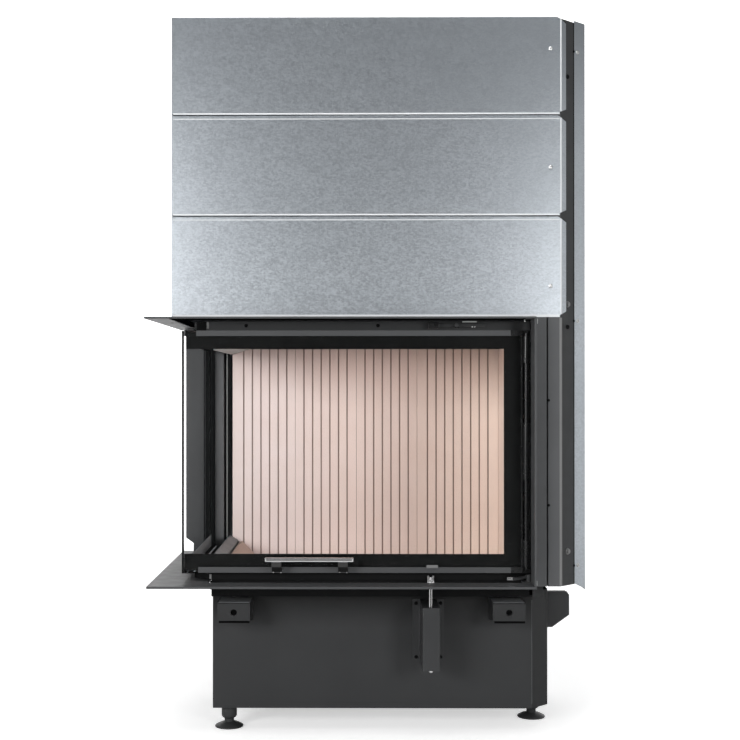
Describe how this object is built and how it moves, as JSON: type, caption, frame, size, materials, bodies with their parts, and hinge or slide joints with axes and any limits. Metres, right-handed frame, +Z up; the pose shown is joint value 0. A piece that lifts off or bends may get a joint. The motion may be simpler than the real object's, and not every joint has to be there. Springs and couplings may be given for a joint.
{
  "type": "built-in fireplace insert",
  "caption": "Built-in corner fireplace insert with a vertically sliding glazed door, galvanised door housing, fireclay lining and an adjustable base.",
  "frame": {"origin": "on the floor under the middle of the overall box", "axes": "+Z up, +X to the right as seen from the front, +Y from the front to the back"},
  "size_m": [0.8636, 0.6506, 1.428],
  "materials": {
    "steel": "matt heat-resistant paint",
    "galvanised": "galvanised, fine spangle",
    "fireclay": "matt fired clay",
    "glass": "clear ceramic glass",
    "stainless": "polished",
    "beam_steel": "satin dark grey",
    "rope": "stranded wire",
    "ballast": "raw"
  },
  "bodies": {
    "insert": {"base_front": "steel", "base_left": "steel", "base_right": "steel", "base_rear": "steel", "bracket_left": "steel", "bracket_right": "steel", "side_bracket": "steel", "damper_housing": "steel", "firebox_tray": "steel", "firebox_right": "steel", "firebox_rear": "steel", "lintel_front": "steel", "lintel_left": "steel", "firebox_roof": "steel", "trim_lower": "steel", "trim_upper": "steel", "trim_right": "steel", "trim_rear": "steel", "column_right": "steel", "column_rear": "steel", "edge_rail_front": "steel", "edge_rail_left": "steel", "side_cover_right": "galvanised", "side_cover_rear": "galvanised", "cover_front_1": "galvanised", "cover_front_2": "galvanised", "cover_front_3": "galvanised", "cover_left": "galvanised", "lining_rear_1": "fireclay", "lining_rear_2": "fireclay", "lining_rear_3": "fireclay", "lining_rear_4": "fireclay", "lining_right": "fireclay", "ramp_front": "fireclay", "ramp_left": "fireclay", "hearth": "fireclay", "baffle": "fireclay"},
    "door_frame": {"frame_beam_upper": "beam_steel", "frame_beam_lower": "beam_steel", "hinge_post": "beam_steel", "rear_stile": "beam_steel", "side_glass": "glass", "rope_right": "rope", "rope_rear": "rope"},
    "door_leaf": {"front_glass": "glass", "door_rail_upper": "beam_steel", "door_rail_lower": "beam_steel", "hinge_stile": "beam_steel", "handle": "stainless"},
    "lock_bar": {"lock_bar": "beam_steel"},
    "air_lever": {"air_lever": "steel"},
    "damper_rod": {"damper_rod": "stainless"},
    "pulley_right": {"pulley_right": "ballast"},
    "pulley_rear": {"pulley_rear": "ballast"},
    "counterweight_right": {"counterweight_right": "ballast"},
    "counterweight_rear": {"counterweight_rear": "ballast"},
    "foot_front_left": {"foot_front_left": "steel"},
    "foot_front_right": {"foot_front_right": "steel"},
    "foot_rear_left": {"foot_rear_left": "steel"},
    "foot_rear_right": {"foot_rear_right": "steel"}
  },
  "joints": [
    {"name": "door_lift", "type": "slide", "parent": "insert", "child": "door_frame", "axis": [0, 0, 1], "range_m": [0, 0.45], "deforming": ["rope_right", "rope_rear"]},
    {"name": "door_swing", "type": "hinge", "parent": "door_frame", "child": "door_leaf", "pos_m": [0.30985, -0.2553, 0.58], "axis": [0, 0, -1], "range_deg": [-90, 0]},
    {"name": "lock_slide", "type": "slide", "parent": "door_frame", "child": "lock_bar", "axis": [1, 0, 0], "range_m": [0, 0.035]},
    {"name": "lever_swing", "type": "hinge", "parent": "insert", "child": "air_lever", "pos_m": [0.31465, -0.2493, 0.328], "axis": [0, 0, 1], "range_deg": [0, 30]},
    {"name": "damper_pull", "type": "slide", "parent": "insert", "child": "damper_rod", "axis": [0, 0, 1], "range_m": [-0.04, 0]},
    {"name": "weight_right_drop", "type": "slide", "parent": "insert", "child": "counterweight_right", "axis": [0, 0, 1], "range_m": [-0.45, 0]},
    {"name": "weight_rear_drop", "type": "slide", "parent": "insert", "child": "counterweight_rear", "axis": [0, 0, 1], "range_m": [-0.45, 0]},
    {"name": "pulley_right_turn", "type": "hinge", "parent": "insert", "child": "pulley_right", "pos_m": [0.35005, -0.2283, 1.375], "axis": [0, 1, 0], "range_deg": [0, 660]},
    {"name": "pulley_rear_turn", "type": "hinge", "parent": "insert", "child": "pulley_rear", "pos_m": [-0.33585, 0.2435, 1.375], "axis": [-1, 0, 0], "range_deg": [0, 660]},
    {"name": "foot_front_left_screw", "type": "slide", "parent": "insert", "child": "foot_front_left", "axis": [0, 0, -1], "range_m": [0, 0.03]},
    {"name": "foot_front_right_screw", "type": "slide", "parent": "insert", "child": "foot_front_right", "axis": [0, 0, -1], "range_m": [0, 0.03]},
    {"name": "foot_rear_left_screw", "type": "slide", "parent": "insert", "child": "foot_rear_left", "axis": [0, 0, -1], "range_m": [0, 0.03]},
    {"name": "foot_rear_right_screw", "type": "slide", "parent": "insert", "child": "foot_rear_right", "axis": [0, 0, -1], "range_m": [0, 0.03]}
  ],
  "couplings": [
    {"joint": "weight_right_drop", "follows": "door_lift", "ratio": -1},
    {"joint": "weight_rear_drop", "follows": "door_lift", "ratio": -1},
    {"joint": "pulley_right_turn", "follows": "door_lift", "rad_per_m": 25.063},
    {"joint": "pulley_rear_turn", "follows": "door_lift", "rad_per_m": 25.063}
  ]
}
